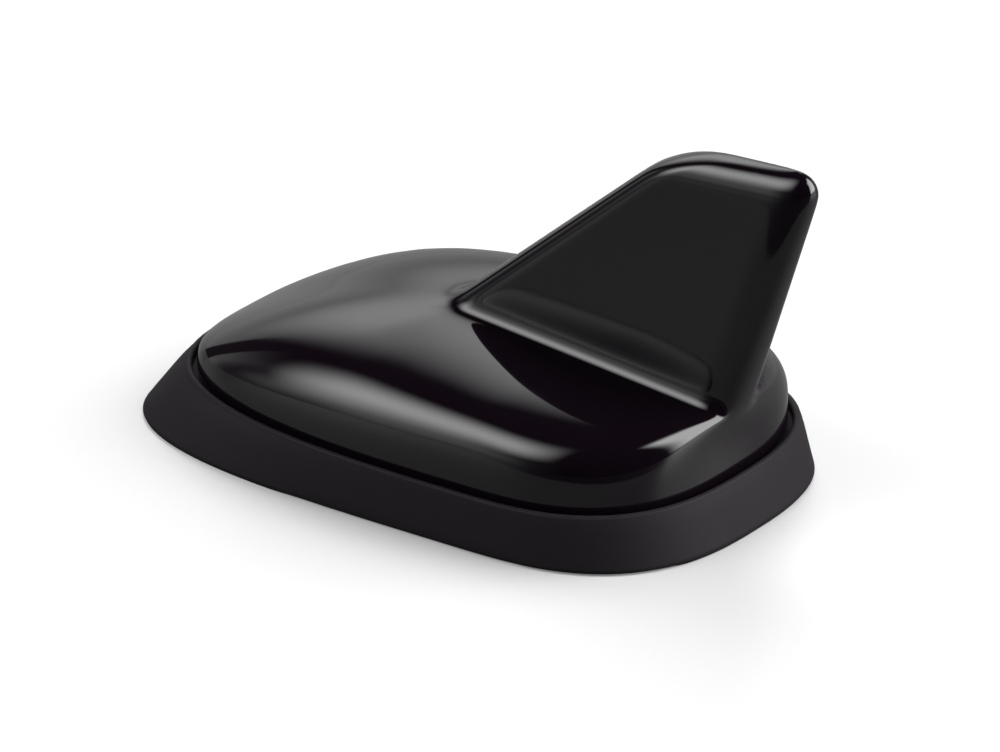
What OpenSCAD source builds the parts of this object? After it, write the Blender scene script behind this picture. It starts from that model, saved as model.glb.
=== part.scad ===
// Roof aerial with a shark fin cover on a rubber skirt, for a flat or gently crowned car roof.
// The nose points along -X and the tail along +X. The roof surface is z = 0. Sizes are in millimetres.

/* [Skirt] */
// Length of the skirt's foot along the roof
skirt_len = 130; // [115:1:145]
// Width of the skirt's foot at its widest station
skirt_wid = 80; // [74:1:90]
// Height of the skirt's lip above the roof
skirt_h = 10.9; // [10:0.1:13]
// How far the lip lies back from the foot at the nose
nose_rake = 7; // [4:0.5:9]
// How far the lip lies back from the foot at the tail
tail_rake = 3.1; // [2:0.1:5]
// How far the lip lies back from the foot at the sides
side_rake = 1.2; // [0.8:0.1:3]
// Width of the rounded lip
lip_w = 1.4; // [1.2:0.1:2]
// Width of the dark groove between lip and cover
groove_w = 0.8; // [0.5:0.1:1.2]
// Depth of that groove, down to the ledge that the cover stands on
groove_depth = 1.7; // [1.2:0.1:2.2]

/* [Cover] */
// Wall thickness of the moulded cover
cover_wall = 2.2; // [1.8:0.1:2.6]
// Height at which the dome starts to curve in
dome_foot_z = 12; // [11.5:0.1:13]
// Height of the dome at the fin's front
crown_z = 29.8; // [27:0.1:32]
// Height that the dome's spine falls to above the nose
nose_z = 20.3; // [18:0.1:22]
// Height of the dome at the fin's rear
tail_z = 24; // [22:0.1:25]
// Fullness of the shoulder seen from above: higher is squarer
shoulder_out = 3.3; // [2.8:0.1:3.8]
// Fullness of the shoulder seen from the side: higher gives a taller wall
shoulder_up = 3.8; // [3:0.1:4.4]
// Size of the blend between dome and fin
fin_blend = 3.6; // [3:0.1:4.4]
// Outer radius of a screw boss
boss_r = 3; // [2.6:0.1:3.4]

/* [Fin] */
// Length of the fin's root along the dome
fin_root_len = 65.3; // [60:0.1:68]
// How far the rear of that root stands out behind the cover's edge
fin_overhang = 1.8; // [0.4:0.1:2.4]
// Slope of the leading edge against the roof, in degrees
fin_slope = 40.4; // [38:0.1:43]
// Lean of the trailing edge behind upright, in degrees
fin_lean = 17.8; // [14:0.1:20]
// Height of the fin's top at its front corner
fin_top_z = 72.5; // [69:0.1:75]
// Rise of the fin's top edge from front to rear
fin_top_rise = 1.2; // [0:0.1:3]
// Radius that rounds the fin's top edge
fin_top_r = 6; // [4.5:0.1:6.5]
// Length over which the top's front corner is rounded
front_corner_run = 9.4; // [7:0.1:11]
// Length over which the top's rear corner is rounded
rear_corner_run = 5.9; // [4:0.1:7]
// Width of the fin's root behind its nose
fin_root_front_w = 11.6; // [10:0.1:13]
// Width of the fin's root before its rear
fin_root_rear_w = 12.2; // [11:0.1:14]
// Width of the fin's top at its front
fin_top_front_w = 10.8; // [10:0.1:12]
// Width of the fin's top at its rear
fin_top_rear_w = 8.3; // [8:0.1:10]
// Length of the rounded nose of a section through the fin
fin_nose_len = 5.9; // [4:0.1:8]
// Length of the rounded rear of a section through the fin
fin_tail_len = 7.7; // [6:0.1:9]

/* [Base] */
// Thickness of the foam mounting pad
pad_t = 1; // [0.8:0.1:1.4]
// Thickness of the base plate
base_t = 2.5; // [2.2:0.1:3]
// Thickness of the base plate's upright rim
rim_t = 1.6; // [1.2:0.1:2]
// Height of the cord seal in the rim's groove
seal_t = 1.4; // [1:0.1:1.6]
// Running clearance between pieces that slide together
fit_gap = 0.3; // [0.2:0.05:0.4]
// Radius of the lead's way through the inlet
inlet_r = 1.5; // [1.2:0.1:2]

/* [Board] */
// Room between the board's front end and the base's rim
board_front_gap = 8.2; // [7:0.1:10]
// Room between the board's rear end and the base's rim
board_rear_gap = 4.6; // [4:0.1:6]
// Room between the board's sides and the base's rim
board_side_gap = 10.1; // [9:0.1:11]
// Thickness of the circuit board
board_t = 1.2; // [0.8:0.1:1.6]
// Height of the standoffs under the board
standoff_h = 2.6; // [2.2:0.1:3]
// Length of the shield can
shield_len = 16; // [14:0.5:18]
// Width of the shield can
shield_wid = 14; // [12:0.5:15]
// Height of the shield can
shield_h = 3.6; // [3:0.1:5]

/* [Satellite patch] */
// Side of the square ceramic patch
patch_side = 25; // [22:0.5:25.5]
// Thickness of the ceramic patch
patch_t = 4; // [3:0.1:5]
// Side of the silvered square on the patch
electrode_side = 20; // [17:0.5:21]

/* [Radio element] */
// Thickness of the frame that stands in the fin
carrier_t = 2.6; // [2.2:0.1:2.8]
// Thickness of the folded sheet element
sheet_t = 0.4; // [0.3:0.05:0.5]
// Radius of the coil's post
former_r = 2.6; // [2.2:0.1:2.8]
// Thickness of the coil's wire
wire_t = 0.9; // [0.7:0.1:1]
// Turns of the coil
coil_turns = 7; // [5:1:8]

/* [Hidden] */
$fn = 48;

// Shape of the oval outlines: squareness at nose and tail, taper along the length, and widest station
foot_nose_n = 3.7;
foot_tail_n = 2.76;
lip_nose_n = 2.88;
lip_tail_n = 2.7;
taper = -0.047;
waist = 0.4;

// Divisions round half of the outline: along the fin's rear, its side and its nose
rear_steps = 11;
side_steps = 10;
nose_steps = 11;
half = rear_steps + side_steps + nose_steps;
around = 2 * half;

// Levels
ledge_z = skirt_h - groove_depth;
base_top = pad_t + base_t;
board_z = base_top + standoff_h;
board_top = board_z + board_t;
rim_top = dome_foot_z - fit_gap;
seal_z = rim_top - seal_t - 0.5;

// Half widths and middles of the oval outlines
wide = 1 + taper * waist;
foot_half_w = skirt_wid / 2 / wide;
lip_half_w = foot_half_w - side_rake;
lip_half_len = (skirt_len - nose_rake - tail_rake) / 2;
lip_mid = (nose_rake - tail_rake) / 2;
edge_in = lip_w + groove_w;
cover_front_x = lip_mid - lip_half_len + edge_in;
cover_rear_x = lip_mid + lip_half_len - edge_in;
fin_rear_x = cover_rear_x + fin_overhang;
fin_front_x = fin_rear_x - fin_root_len;

function mix(a, b, t) = a + (b - a) * t;

// Oval with its own squareness at each end, moved in by a margin
function oval(phi, mid, half_len, half_w, nose_n, tail_n, margin) =
    let (c = cos(phi), s = sin(phi), n = c >= 0 ? tail_n : nose_n)
    let (r = pow(pow(abs(c), n) + pow(abs(s), n), -1 / n))
    let (u = c >= 0 ? waist + (1 - waist) * c * r : waist + (1 + waist) * c * r)
    [mid + (half_len - margin) * u, (half_w - margin) * s * r * (1 + taper * u)];

function angle_at(i) = 180 * i / half;

// Skirt outline at a share of its height: 0 is the foot, 1 is the lip
function skirt_oval(i, share, margin) = oval(angle_at(i), mix(0, lip_mid, share),
    mix(skirt_len / 2, lip_half_len, share), mix(foot_half_w, lip_half_w, share),
    mix(foot_nose_n, lip_nose_n, share), mix(foot_tail_n, lip_tail_n, share), margin);

// Outline of the cover's lower edge, moved in by a margin
function edge_oval(i, margin) = oval(angle_at(i), lip_mid, lip_half_len - edge_in, lip_half_w - edge_in,
    lip_nose_n, lip_tail_n, margin);

function edge_outline(margin) = [for (i = [0 : around - 1]) edge_oval(i, margin)];

// Ends of the fin's straight leading and trailing edges, as [x, z]
front_root = [fin_front_x, crown_z];
rear_root = [fin_rear_x, tail_z];
front_end_z = fin_top_z - fin_top_r;
rear_end_z = front_end_z + fin_top_rise;
front_end = [fin_front_x + (front_end_z - crown_z) / tan(fin_slope), front_end_z];
rear_end = [fin_rear_x + (rear_end_z - tail_z) * tan(fin_lean), rear_end_z];

// Point round a fin section between its front and rear ends, with its half widths there
function section_point(i, front, rear, front_w, rear_w, squash) =
    let (k = i <= half ? i : around - i, side = i <= half ? 1 : -1)
    let (len = norm(front - rear), dir = (front - rear) / len)
    let (a = k <= rear_steps ? 90 * k / rear_steps : 90)
    let (b = k >= rear_steps + side_steps ? 90 * (half - k) / nose_steps : 90)
    let (run = fin_tail_len * (1 - pow(cos(a), 0.9)))
    let (run_end = len - fin_nose_len * (1 - pow(cos(b), 0.9)))
    let (share = (k - rear_steps) / side_steps)
    let (s = k <= rear_steps ? run : k >= rear_steps + side_steps ? run_end
        : mix(fin_tail_len, len - fin_nose_len, share))
    let (w = mix(rear_w, front_w, s / len) * pow(sin(a), 0.85) * pow(sin(b), 0.85))
    [rear.x + dir.x * s, side * w * squash, rear.y + dir.y * s];

// Ring of the fin at a share of its straight height
function fin_point(i, t) = section_point(i, mix(front_root, front_end, t), mix(rear_root, rear_end, t),
    mix(fin_root_front_w, fin_top_front_w, t) / 2, mix(fin_root_rear_w, fin_top_rear_w, t) / 2, 1);

// Ring of the fin's rounded top, for an angle from 0 at the side to 90 at the top
function fin_top_point(i, a) =
    let (front = front_end + [fin_top_r / tan(fin_slope) * sin(a) + front_corner_run * (1 - cos(a)),
        fin_top_r * sin(a)])
    let (rear = rear_end + [fin_top_r * tan(fin_lean) * sin(a) - rear_corner_run * (1 - cos(a)),
        fin_top_r * sin(a)])
    section_point(i, front, rear, fin_top_front_w / 2, fin_top_rear_w / 2, mix(0.12, 1, cos(a)));

// Value that changes round the cover, from the one at its sides to those at its nose and tail
nose_reach = 0.8;
tail_reach = 1.8;
function round_cover(i, side, nose, tail) = let (c = cos(angle_at(i)))
    side - (side - tail) * pow(max(0, c), tail_reach) - (side - nose) * pow(max(0, -c), nose_reach);

// Height of the dome's spine: nearly level under the fin, and falling towards the nose
spine_curve = 3;
function spine(x) =
    let (fall = max(0, (fin_front_x - x) / (fin_front_x - cover_front_x)))
    let (back = min(1, max(0, (x - fin_front_x) / fin_root_len)))
    mix(crown_z, tail_z, back) - (crown_z - nose_z) * pow(fall, spine_curve);

// Point of the dome at a share of its way from the lower edge up to the fin's root
function dome_point(i, share) =
    let (root = fin_point(i, 0), edge = edge_oval(i, 0))
    let (out = round_cover(i, shoulder_out, 1.4, 1), up = round_cover(i, shoulder_up, 2, 3.1))
    let (reach = norm([root.x - edge.x, root.y - edge.y, root.z - dome_foot_z]))
    let (stop = acos(pow(fin_blend / reach, out / 2)))
    let (rho = pow(cos(stop * share), 2 / out), lift = pow(sin(stop * share), 2 / up))
    let (x = mix(root.x, edge.x, rho))
    [x, mix(root.y, edge.y, rho), mix(dome_foot_z, spine(x), lift)];

// Share of the fin's height at which the root's blend ends
blend_share = fin_blend / (front_end_z - crown_z);

// Point of the hollow blend at the fin's root
function blend_point(i, t) =
    let (a = dome_point(i, 1), b = fin_point(i, 0), c = fin_point(i, blend_share))
    a * pow(1 - t, 2) + 2 * b * t * (1 - t) + c * pow(t, 2);

// Rings of the cover's outside, from its lower edge to the top of the fin
dome_rings = 12;
blend_rings = 4;
fin_rings = 5;
top_rings = 6;
edge_round = 0.4;
function skin_ring(j) = [for (i = [0 : around - 1])
    j == 0 ? [edge_oval(i, edge_round).x, edge_oval(i, edge_round).y, ledge_z]
    : j == 1 ? [edge_oval(i, 0).x, edge_oval(i, 0).y, ledge_z + edge_round]
    : j <= 2 + dome_rings ? dome_point(i, (j - 2) / dome_rings)
    : j <= 2 + dome_rings + blend_rings ? blend_point(i, (j - 2 - dome_rings) / blend_rings)
    : j <= 2 + dome_rings + blend_rings + fin_rings
        ? fin_point(i, mix(blend_share, 1, (j - 2 - dome_rings - blend_rings) / fin_rings))
    : fin_top_point(i, 90 * (j - 2 - dome_rings - blend_rings - fin_rings) / top_rings)];
last_ring = 2 + dome_rings + blend_rings + fin_rings + top_rings;
skin = [for (j = [0 : last_ring]) skin_ring(j)];

// Inside of the cover: each point lies one wall below the outside, along the surface's own normal
function skin_normal(j, i) =
    let (up = skin[min(j + 1, last_ring)][i] - skin[max(j - 1, 0)][i])
    let (turn = skin[j][(i + 1) % around] - skin[j][(i + around - 1) % around])
    let (n = cross(turn, up), flat = j <= 1 ? [n.x, n.y, 0] : n)
    flat / norm(flat);
function inner_point(j, i) = skin[j][i] - skin_normal(j, i) * (j == 0 ? cover_wall - edge_round : cover_wall);
inner_levels = [0, 2, 4, 6, 8, 10, 12, 14, 16, 18, 20, 22, 24, 26, 28];
inner = [for (j = inner_levels) [for (i = [0 : around - 1]) inner_point(j, i)]];

// Places of the four bosses, on the dome's own surface
boss_spots = [[9, 25], [9, 39], [10, 12], [10, 52]];
function boss_top(spot) = skin[spot.x][spot.y];

// Inner face of the base's rim, and the board inside it
rim_in = cover_wall + fit_gap + rim_t;
board_front = cover_front_x + rim_in + board_front_gap;
board_rear = cover_rear_x - rim_in - board_rear_gap;
board_half_w = foot_half_w - side_rake - edge_in - rim_in - board_side_gap;

// Screws and their holes
screw_r = 1;
head_r = 1.8;
head_h = 1.2;
pilot_r = 1.2;
hole_r = 1.4;
board_screw_spots = [[board_front + 3.2, 0], [board_front + 32.5, board_half_w - 3.5],
    [board_front + 32.5, 3.5 - board_half_w], [board_rear - 7, board_half_w - 7],
    [board_rear - 7, 7 - board_half_w]];

// Stations along the board, counted from its front: patch, shield can, and the lead's way through
patch_x = board_front + 6 + patch_side / 2;
patch_tape_t = 0.4;
shield_pos = [patch_x + patch_side / 2 + 3 + shield_len / 2, -6];
inlet_pos = [shield_pos.x + shield_len / 2 + 8, 13];
neck_r = inlet_r + 3;
flange_r = neck_r + 1.4;
vent_pos = [patch_x + 5, 0];

// The frame in the fin stands on two feet, counted from the fin's rear
foot_len = 6;
foot_t = 2;
foot_half = 7;
foot_back = 14;
foot_span = 22;
carrier_feet = [fin_rear_x - foot_back - foot_span, fin_rear_x - foot_back];
carrier_screw_spots = [[carrier_feet[0], 4.8], [carrier_feet[1], -4.8]];
coil_x = (carrier_feet[0] + carrier_feet[1]) / 2;

// Lines of the space inside the fin
function front_x_at(z) = fin_front_x + (z - crown_z) / tan(fin_slope);
function rear_x_at(z) = fin_rear_x + (z - tail_z) * tan(fin_lean);
function ceiling_at(x) = fin_top_z - cover_wall
    + fin_top_rise * (x - front_end.x) / (rear_end.x - front_end.x);
pad_h = 3.6;
carrier_top = fin_top_z - cover_wall - pad_h;
carrier_front_gap = 8.5;
carrier_rear_gap = 5.6;
coil_h = 26;
arch_top = board_top + coil_h;
carrier_foot_x = carrier_feet[0] - foot_len / 2;
carrier_heel_x = carrier_feet[1] + foot_len / 2;

// Closes a stack of rings into faces, with point numbers counted from a start
function wall_faces(start, count, rings) = [for (j = [0 : rings - 2]) for (i = [0 : count - 1])
    [start + j * count + i, start + j * count + (i + 1) % count,
     start + (j + 1) * count + (i + 1) % count, start + (j + 1) * count + i]];
// Closes the narrow top ring by joining its two sides
function top_faces(start, count) = [for (i = [0 : count / 2 - 1])
    i == 0 ? [start, start + 1, start + count - 1]
    : i == count / 2 - 1 ? [start + i, start + i + 1, start + count - i]
    : [start + i, start + i + 1, start + count - i - 1, start + count - i]];
function turned(faces) = [for (f = faces) [for (k = [len(f) - 1 : -1 : 0]) f[k]]];
function split(faces) = [for (f = faces) for (k = [1 : len(f) - 2]) [f[0], f[k], f[k + 1]]];
function flat_list(rings) = [for (r = rings) for (p = r) p];

// Outer skin, inner skin and the narrow rim that joins them at the lower edge
module cover_shell() {
    outer_n = around * (last_ring + 1);
    inner_n = len(inner_levels);
    outer_faces = concat(wall_faces(0, around, last_ring + 1), top_faces(around * last_ring, around));
    inner_faces = concat(wall_faces(outer_n, around, inner_n),
        top_faces(outer_n + around * (inner_n - 1), around));
    rim_faces = [for (i = [0 : around - 1]) let (k = (i + 1) % around)
        [i, k, outer_n + k, outer_n + i]];
    points = concat(flat_list(skin), flat_list(inner));
    faces = concat(turned(split(outer_faces)), split(inner_faces), split(rim_faces));
    polyhedron(points, faces);
}

// Glossy cover: dome and fin in one moulding, with four screw bosses inside
module cover() {
    color([0.02, 0.02, 0.022]) difference() {
        union() {
            cover_shell();
            for (spot = boss_spots) let (p = boss_top(spot))
                translate([p.x, p.y, base_top])
                    cylinder(r = boss_r, h = p.z - 1.5 - base_top);
        }
        for (spot = boss_spots) let (p = boss_top(spot))
            translate([p.x, p.y, base_top - 1])
                cylinder(r = pilot_r, h = p.z - 4 - base_top + 1);
    }
}

// Rubber skirt: a raked ring with a rounded lip, a groove and a ledge that the cover stands on
module skirt() {
    foot_r = 0.6;
    lip_r = lip_w / 2;
    profile = concat(
        [[0, foot_r, 0], [foot_r / skirt_h, 0, foot_r]],
        [for (s = [0.3, 0.55, 0.8]) [s, 0, s * skirt_h]],
        [for (a = [0 : 22.5 : 180]) [1, lip_r - lip_r * cos(a), skirt_h - lip_r + lip_r * sin(a)]],
        [[1, lip_w, ledge_z]]);
    rings = [for (p = profile) [for (i = [0 : around - 1])
        let (q = skirt_oval(i, p[0], p[1])) [q.x, q.y, p[2]]]];
    ledge = [for (z = [ledge_z, 0]) [for (i = [0 : around - 1])
        let (q = edge_oval(i, cover_wall)) [q.x, q.y, z]]];
    all_rings = concat(rings, ledge, [rings[0]]);
    count = len(all_rings) - 1;
    faces = [for (j = [0 : count - 1]) for (i = [0 : around - 1])
        let (k = (i + 1) % around, up = (j + 1) % count)
        [j * around + i, j * around + k, up * around + k, up * around + i]];
    points = flat_list([for (j = [0 : count - 1]) all_rings[j]]);
    color([0.06, 0.06, 0.062]) polyhedron(points, turned(split(faces)));
}

// Moulded base: a plate with an upright rim, standoffs and holes
module base_plate() {
    margin = cover_wall + fit_gap;
    color([0.08, 0.08, 0.085]) difference() {
        union() {
            translate([0, 0, pad_t]) linear_extrude(base_t) polygon(edge_outline(margin));
            translate([0, 0, pad_t]) linear_extrude(rim_top - pad_t) difference() {
                polygon(edge_outline(margin));
                polygon(edge_outline(margin + rim_t));
            }
            for (s = board_screw_spots) translate([s.x, s.y, base_top - 0.5])
                cylinder(r = head_r + 0.8, h = standoff_h + 0.5);
        }
        translate([0, 0, seal_z]) linear_extrude(seal_t) difference() {
            polygon(edge_outline(0));
            polygon(edge_outline(margin + rim_t / 2));
        }
        for (s = board_screw_spots) translate([s.x, s.y, pad_t + 0.8])
            cylinder(r = screw_r + 0.1, h = base_t + standoff_h);
        for (spot = boss_spots) let (p = boss_top(spot)) translate([p.x, p.y, pad_t - 1]) {
            cylinder(r = hole_r, h = base_t + 2);
            cylinder(r = head_r + 0.5, h = head_h + 1.1);
        }
        translate([inlet_pos.x, inlet_pos.y, 0]) cylinder(r = neck_r, h = base_top + 1);
        translate([vent_pos.x, vent_pos.y, 0]) cylinder(r = 3, h = base_top + 1);
    }
}

// Foam mounting tape under the base, open at the inlet and the vent
module adhesive_pad() {
    color([0.16, 0.16, 0.17]) difference() {
        linear_extrude(pad_t) polygon(edge_outline(cover_wall + fit_gap));
        translate([inlet_pos.x, inlet_pos.y, -1]) cylinder(r = flange_r + 0.6, h = pad_t + 2);
        translate([vent_pos.x, vent_pos.y, -1]) cylinder(r = 3.4, h = pad_t + 2);
    }
}

// Rubber cord in the rim's groove, pressed by the cover's wall
module seal_ring() {
    color([0.11, 0.11, 0.11]) translate([0, 0, seal_z]) linear_extrude(seal_t) difference() {
        polygon(edge_outline(cover_wall + fit_gap / 6));
        polygon(edge_outline(cover_wall + fit_gap + rim_t / 2));
    }
}

// Rectangle with round corners, centred
module rounded(size, r) {
    square([size.x - 2 * r, size.y], center = true);
    square([size.x, size.y - 2 * r], center = true);
    for (x = [-1, 1]) for (y = [-1, 1])
        translate([x * (size.x / 2 - r), y * (size.y / 2 - r)]) circle(r);
}

// Circuit board, notched from its sides round the cover's bosses
module main_board() {
    notch_r = boss_r + 0.5;
    color([0.05, 0.25, 0.12]) translate([0, 0, board_z]) linear_extrude(board_t) difference() {
        translate([(board_front + board_rear) / 2, 0])
            rounded([board_rear - board_front, 2 * board_half_w], 6);
        for (spot = boss_spots) let (p = boss_top(spot)) translate([p.x, p.y]) {
            circle(notch_r);
            translate([0, 2 * sign(p.y) * notch_r]) square([2 * notch_r, 4 * notch_r], center = true);
        }
        for (s = board_screw_spots) translate(s) circle(screw_r + 0.2);
        for (s = carrier_screw_spots) translate(s) circle(screw_r + 0.1);
        translate(inlet_pos) circle(inlet_r + 1);
        translate([patch_x, 0]) circle(0.6);
    }
}

// Folded tin can over the amplifier
module shield_can() {
    sheet = 0.3;
    color([0.75, 0.75, 0.76]) translate([shield_pos.x, shield_pos.y, board_top]) difference() {
        linear_extrude(shield_h) rounded([shield_len, shield_wid], 1);
        translate([0, 0, -sheet]) linear_extrude(shield_h)
            rounded([shield_len - 2 * sheet, shield_wid - 2 * sheet], 0.8);
        for (x = [-1, 0, 1]) for (y = [-1, 1])
            translate([x * shield_len / 4, y * shield_wid / 4, 0]) cylinder(r = 0.8, h = shield_h + 1);
    }
}

// Amplifier package on the board, under the can
module amplifier_chip() {
    color([0.1, 0.1, 0.11]) translate([shield_pos.x, shield_pos.y, board_top]) {
        body = 5;
        lead = 0.6;
        translate([-body / 2, -body / 2, 0.1]) cube([body, body, 1]);
        for (i = [-1.5 : 1 : 1.5]) for (side = [-1, 1])
            translate([side > 0 ? body / 2 : -body / 2 - lead, i - 0.2, 0]) cube([lead, 0.4, 0.5]);
    }
}

// Filters, coils and capacitors in two rows beside the shield can
module filter_parts() {
    part_len = 2;
    step = 3.2;
    start = [shield_pos.x - 2.3 * step, shield_pos.y + shield_wid / 2 + 8];
    color([0.55, 0.42, 0.3]) for (i = [0 : 3]) for (row = [0, 1])
        translate([start.x + step * i, start.y + 4 * row, board_top])
            cube([part_len, 1.2 + 0.6 * row, 0.8 + 0.4 * (i % 2)]);
}

// Double-sided tape between board and ceramic
module patch_tape() {
    color([0.9, 0.88, 0.8]) translate([patch_x, 0, board_top]) difference() {
        translate([-patch_side / 2, -patch_side / 2, 0]) cube([patch_side, patch_side, patch_tape_t]);
        translate([0, 0, -1]) cylinder(r = 1, h = 3);
    }
}

// Ceramic block of the satellite patch
module patch_ceramic() {
    color([0.72, 0.62, 0.5]) translate([patch_x, 0, board_top + patch_tape_t]) difference() {
        linear_extrude(patch_t) rounded([patch_side, patch_side], 1);
        translate([0, 0, -1]) cylinder(r = 0.6, h = patch_t + 2);
    }
}

// Silvered square on the ceramic, with two cut corners that set its polarisation
module patch_electrode() {
    h = electrode_side / 2;
    cut = 2.4;
    color([0.85, 0.85, 0.84]) translate([patch_x, 0, board_top + patch_tape_t + patch_t]) difference() {
        linear_extrude(0.1)
            polygon([[-h, -h], [h - cut, -h], [h, -h + cut], [h, h], [-h + cut, h], [-h, h - cut]]);
        translate([0, 0, -1]) cylinder(r = 0.6, h = 3);
    }
}

// Pin through the ceramic, with a domed solder head
module patch_feed_pin() {
    below = 0.8;
    length = below + 0.1 + board_t + patch_tape_t + patch_t;
    color([0.8, 0.72, 0.4]) translate([patch_x, 0, board_z - below]) {
        cylinder(r = 0.5, h = length);
        translate([0, 0, length]) cylinder(r1 = 1.4, r2 = 0.7, h = 0.6);
    }
}

// Plate in the plane of the fin, from points given as [x, z], with its thickness across
module fin_plate(points, thickness, y = 0) {
    translate([0, y + thickness / 2, 0]) rotate([90, 0, 0]) linear_extrude(thickness) polygon(points);
}

// Moulded frame that stands on the board and reaches up into the fin, over an arch for the coil
module antenna_carrier() {
    low = board_top + foot_t - 0.5;
    bend_z = crown_z + (carrier_foot_x - carrier_front_gap - fin_front_x) * tan(fin_slope);
    arch_half = (carrier_feet[1] - carrier_feet[0] - foot_len) / 2;
    color([0.85, 0.84, 0.8]) difference() {
        union() {
            fin_plate([[carrier_foot_x, low], [carrier_foot_x, bend_z],
                [front_x_at(carrier_top) + carrier_front_gap, carrier_top],
                [rear_x_at(carrier_top) - carrier_rear_gap, carrier_top],
                [rear_x_at(tail_z) - carrier_rear_gap, tail_z], [carrier_heel_x, low]], carrier_t);
            for (x = carrier_feet) translate([x - foot_len / 2, -foot_half, board_top])
                cube([foot_len, 2 * foot_half, foot_t]);
        }
        translate([coil_x - arch_half, -carrier_t, board_top - 1])
            cube([2 * arch_half, 2 * carrier_t, arch_top - arch_half - board_top + 1]);
        translate([coil_x, 0, arch_top - arch_half]) rotate([90, 0, 0])
            cylinder(r = arch_half, h = 2 * carrier_t, center = true);
        for (s = carrier_screw_spots) translate([s.x, s.y, board_top - 1])
            cylinder(r = screw_r + 0.1, h = foot_t + 2);
        for (t = [0.3, 0.55]) let (z = mix(arch_top, carrier_top, t))
            translate([mix(front_x_at(z) + carrier_front_gap, rear_x_at(z) - carrier_rear_gap, 0.55), 0, z])
                rotate([90, 0, 0]) cylinder(r = 3, h = 2 * carrier_t, center = true);
    }
}

// Folded sheet saddle over the frame's top, with a tongue down to the coil
module radiator() {
    skirt_depth = 12;
    tongue_half = 1.5;
    low = carrier_top - skirt_depth;
    crest = carrier_top + sheet_t;
    front = front_x_at(carrier_top) + carrier_front_gap;
    rear = rear_x_at(carrier_top) - carrier_rear_gap;
    low_front = front_x_at(low) + carrier_front_gap + 2;
    low_rear = rear_x_at(low) - carrier_rear_gap - 1;
    outline = [[low_front, low], [front, carrier_top], [front, crest], [rear, crest], [rear, carrier_top],
        [low_rear, low]];
    landing = mix(low_front, low_rear, 0.3);
    tongue = [[coil_x - tongue_half, arch_top - 2], [coil_x + tongue_half, arch_top - 2],
        [landing + tongue_half, low + 1], [landing - tongue_half, low + 1]];
    y = carrier_t / 2 + sheet_t / 2;
    color([0.82, 0.68, 0.42]) union() {
        for (side = [-1, 1]) fin_plate(outline, sheet_t, side * y);
        fin_plate([[front, carrier_top], [front, crest], [rear, crest], [rear, carrier_top]],
            carrier_t + sheet_t);
        fin_plate(tongue, sheet_t, y);
    }
}

// Foam pad between the radio element and the fin's ceiling
module fin_pad() {
    front = front_x_at(carrier_top) + carrier_front_gap + 5;
    rear = rear_x_at(carrier_top) - carrier_rear_gap - 3;
    low = carrier_top + sheet_t;
    color([0.2, 0.2, 0.22]) fin_plate([[front, low], [front, ceiling_at(front) - 1.2],
        [rear, ceiling_at(rear) - 1.2], [rear, low]], carrier_t - 0.8);
}

// Post for the coil, with a flange at each end
module coil_former() {
    top = arch_top - 2;
    color([0.9, 0.9, 0.88]) translate([coil_x, 0, 0]) {
        translate([0, 0, board_top]) cylinder(r = former_r, h = top - board_top);
        translate([0, 0, board_top]) cylinder(r = former_r + 1.4, h = 2);
        translate([0, 0, top - 1]) cylinder(r = former_r + 0.8, h = 1);
    }
}

// Wire wound round the post, swept as a ring of sides along a helix
module loading_coil() {
    sides = 6;
    steps = 14;
    start_z = board_top + 3.3;
    pitch = (arch_top - 4 - start_z) / coil_turns;
    r = former_r + wire_t / 2 + fit_gap / 2;
    count = coil_turns * steps;
    points = [for (k = [0 : count]) let (a = 360 * k / steps) for (m = [0 : sides - 1])
        let (b = 360 * m / sides, d = r + wire_t / 2 * cos(b))
        [coil_x + d * cos(a), d * sin(a), start_z + pitch * k / steps + wire_t / 2 * sin(b)]];
    skin_faces = [for (k = [0 : count - 1]) for (m = [0 : sides - 1])
        let (n = (m + 1) % sides)
        [k * sides + m, (k + 1) * sides + m, (k + 1) * sides + n, k * sides + n]];
    ends = [[for (m = [0 : sides - 1]) m], [for (m = [sides - 1 : -1 : 0]) count * sides + m]];
    color([0.72, 0.42, 0.22]) polyhedron(points, turned(split(concat(skin_faces, ends))));
}

// Bent strip from the board's contact to the foot of the coil
module contact_spring() {
    t = 0.3;
    tip = coil_x - former_r - 1.5;
    color([0.85, 0.7, 0.35]) translate([0, 0, board_top]) fin_plate([[tip - 3.4, 0], [tip - 0.3, 0],
        [tip - 0.3, 2.1], [tip + 1.3, 2.1], [tip + 1.3, 2.1 + t], [tip - 0.3 - t, 2.1 + t],
        [tip - 0.3 - t, t], [tip - 3.4, t]], 2);
}

// Pan-head screw: shank down from its place, head above
module screw(length) {
    translate([0, 0, -length]) cylinder(r = screw_r, h = length);
    cylinder(r = head_r, h = head_h * 0.6);
    translate([0, 0, head_h * 0.6]) cylinder(r1 = head_r, r2 = head_r * 0.7, h = head_h * 0.4);
}

// Screws that hold the board to the standoffs
module board_screws() {
    grip = 1;
    color([0.6, 0.6, 0.62]) for (s = board_screw_spots) translate([s.x, s.y, board_top])
        screw(board_t + standoff_h + grip);
}

// Screws through the frame's feet into the board
module carrier_screws() {
    reach = 0.5;
    color([0.6, 0.6, 0.62]) for (s = carrier_screw_spots) translate([s.x, s.y, board_top + foot_t])
        screw(foot_t + board_t + reach);
}

// Screws from below, through the base into the cover's bosses
module cover_screws() {
    length = 8;
    color([0.6, 0.6, 0.62]) for (spot = boss_spots) let (p = boss_top(spot))
        translate([p.x, p.y, pad_t + head_h]) mirror([0, 0, 1]) screw(length);
}

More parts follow.
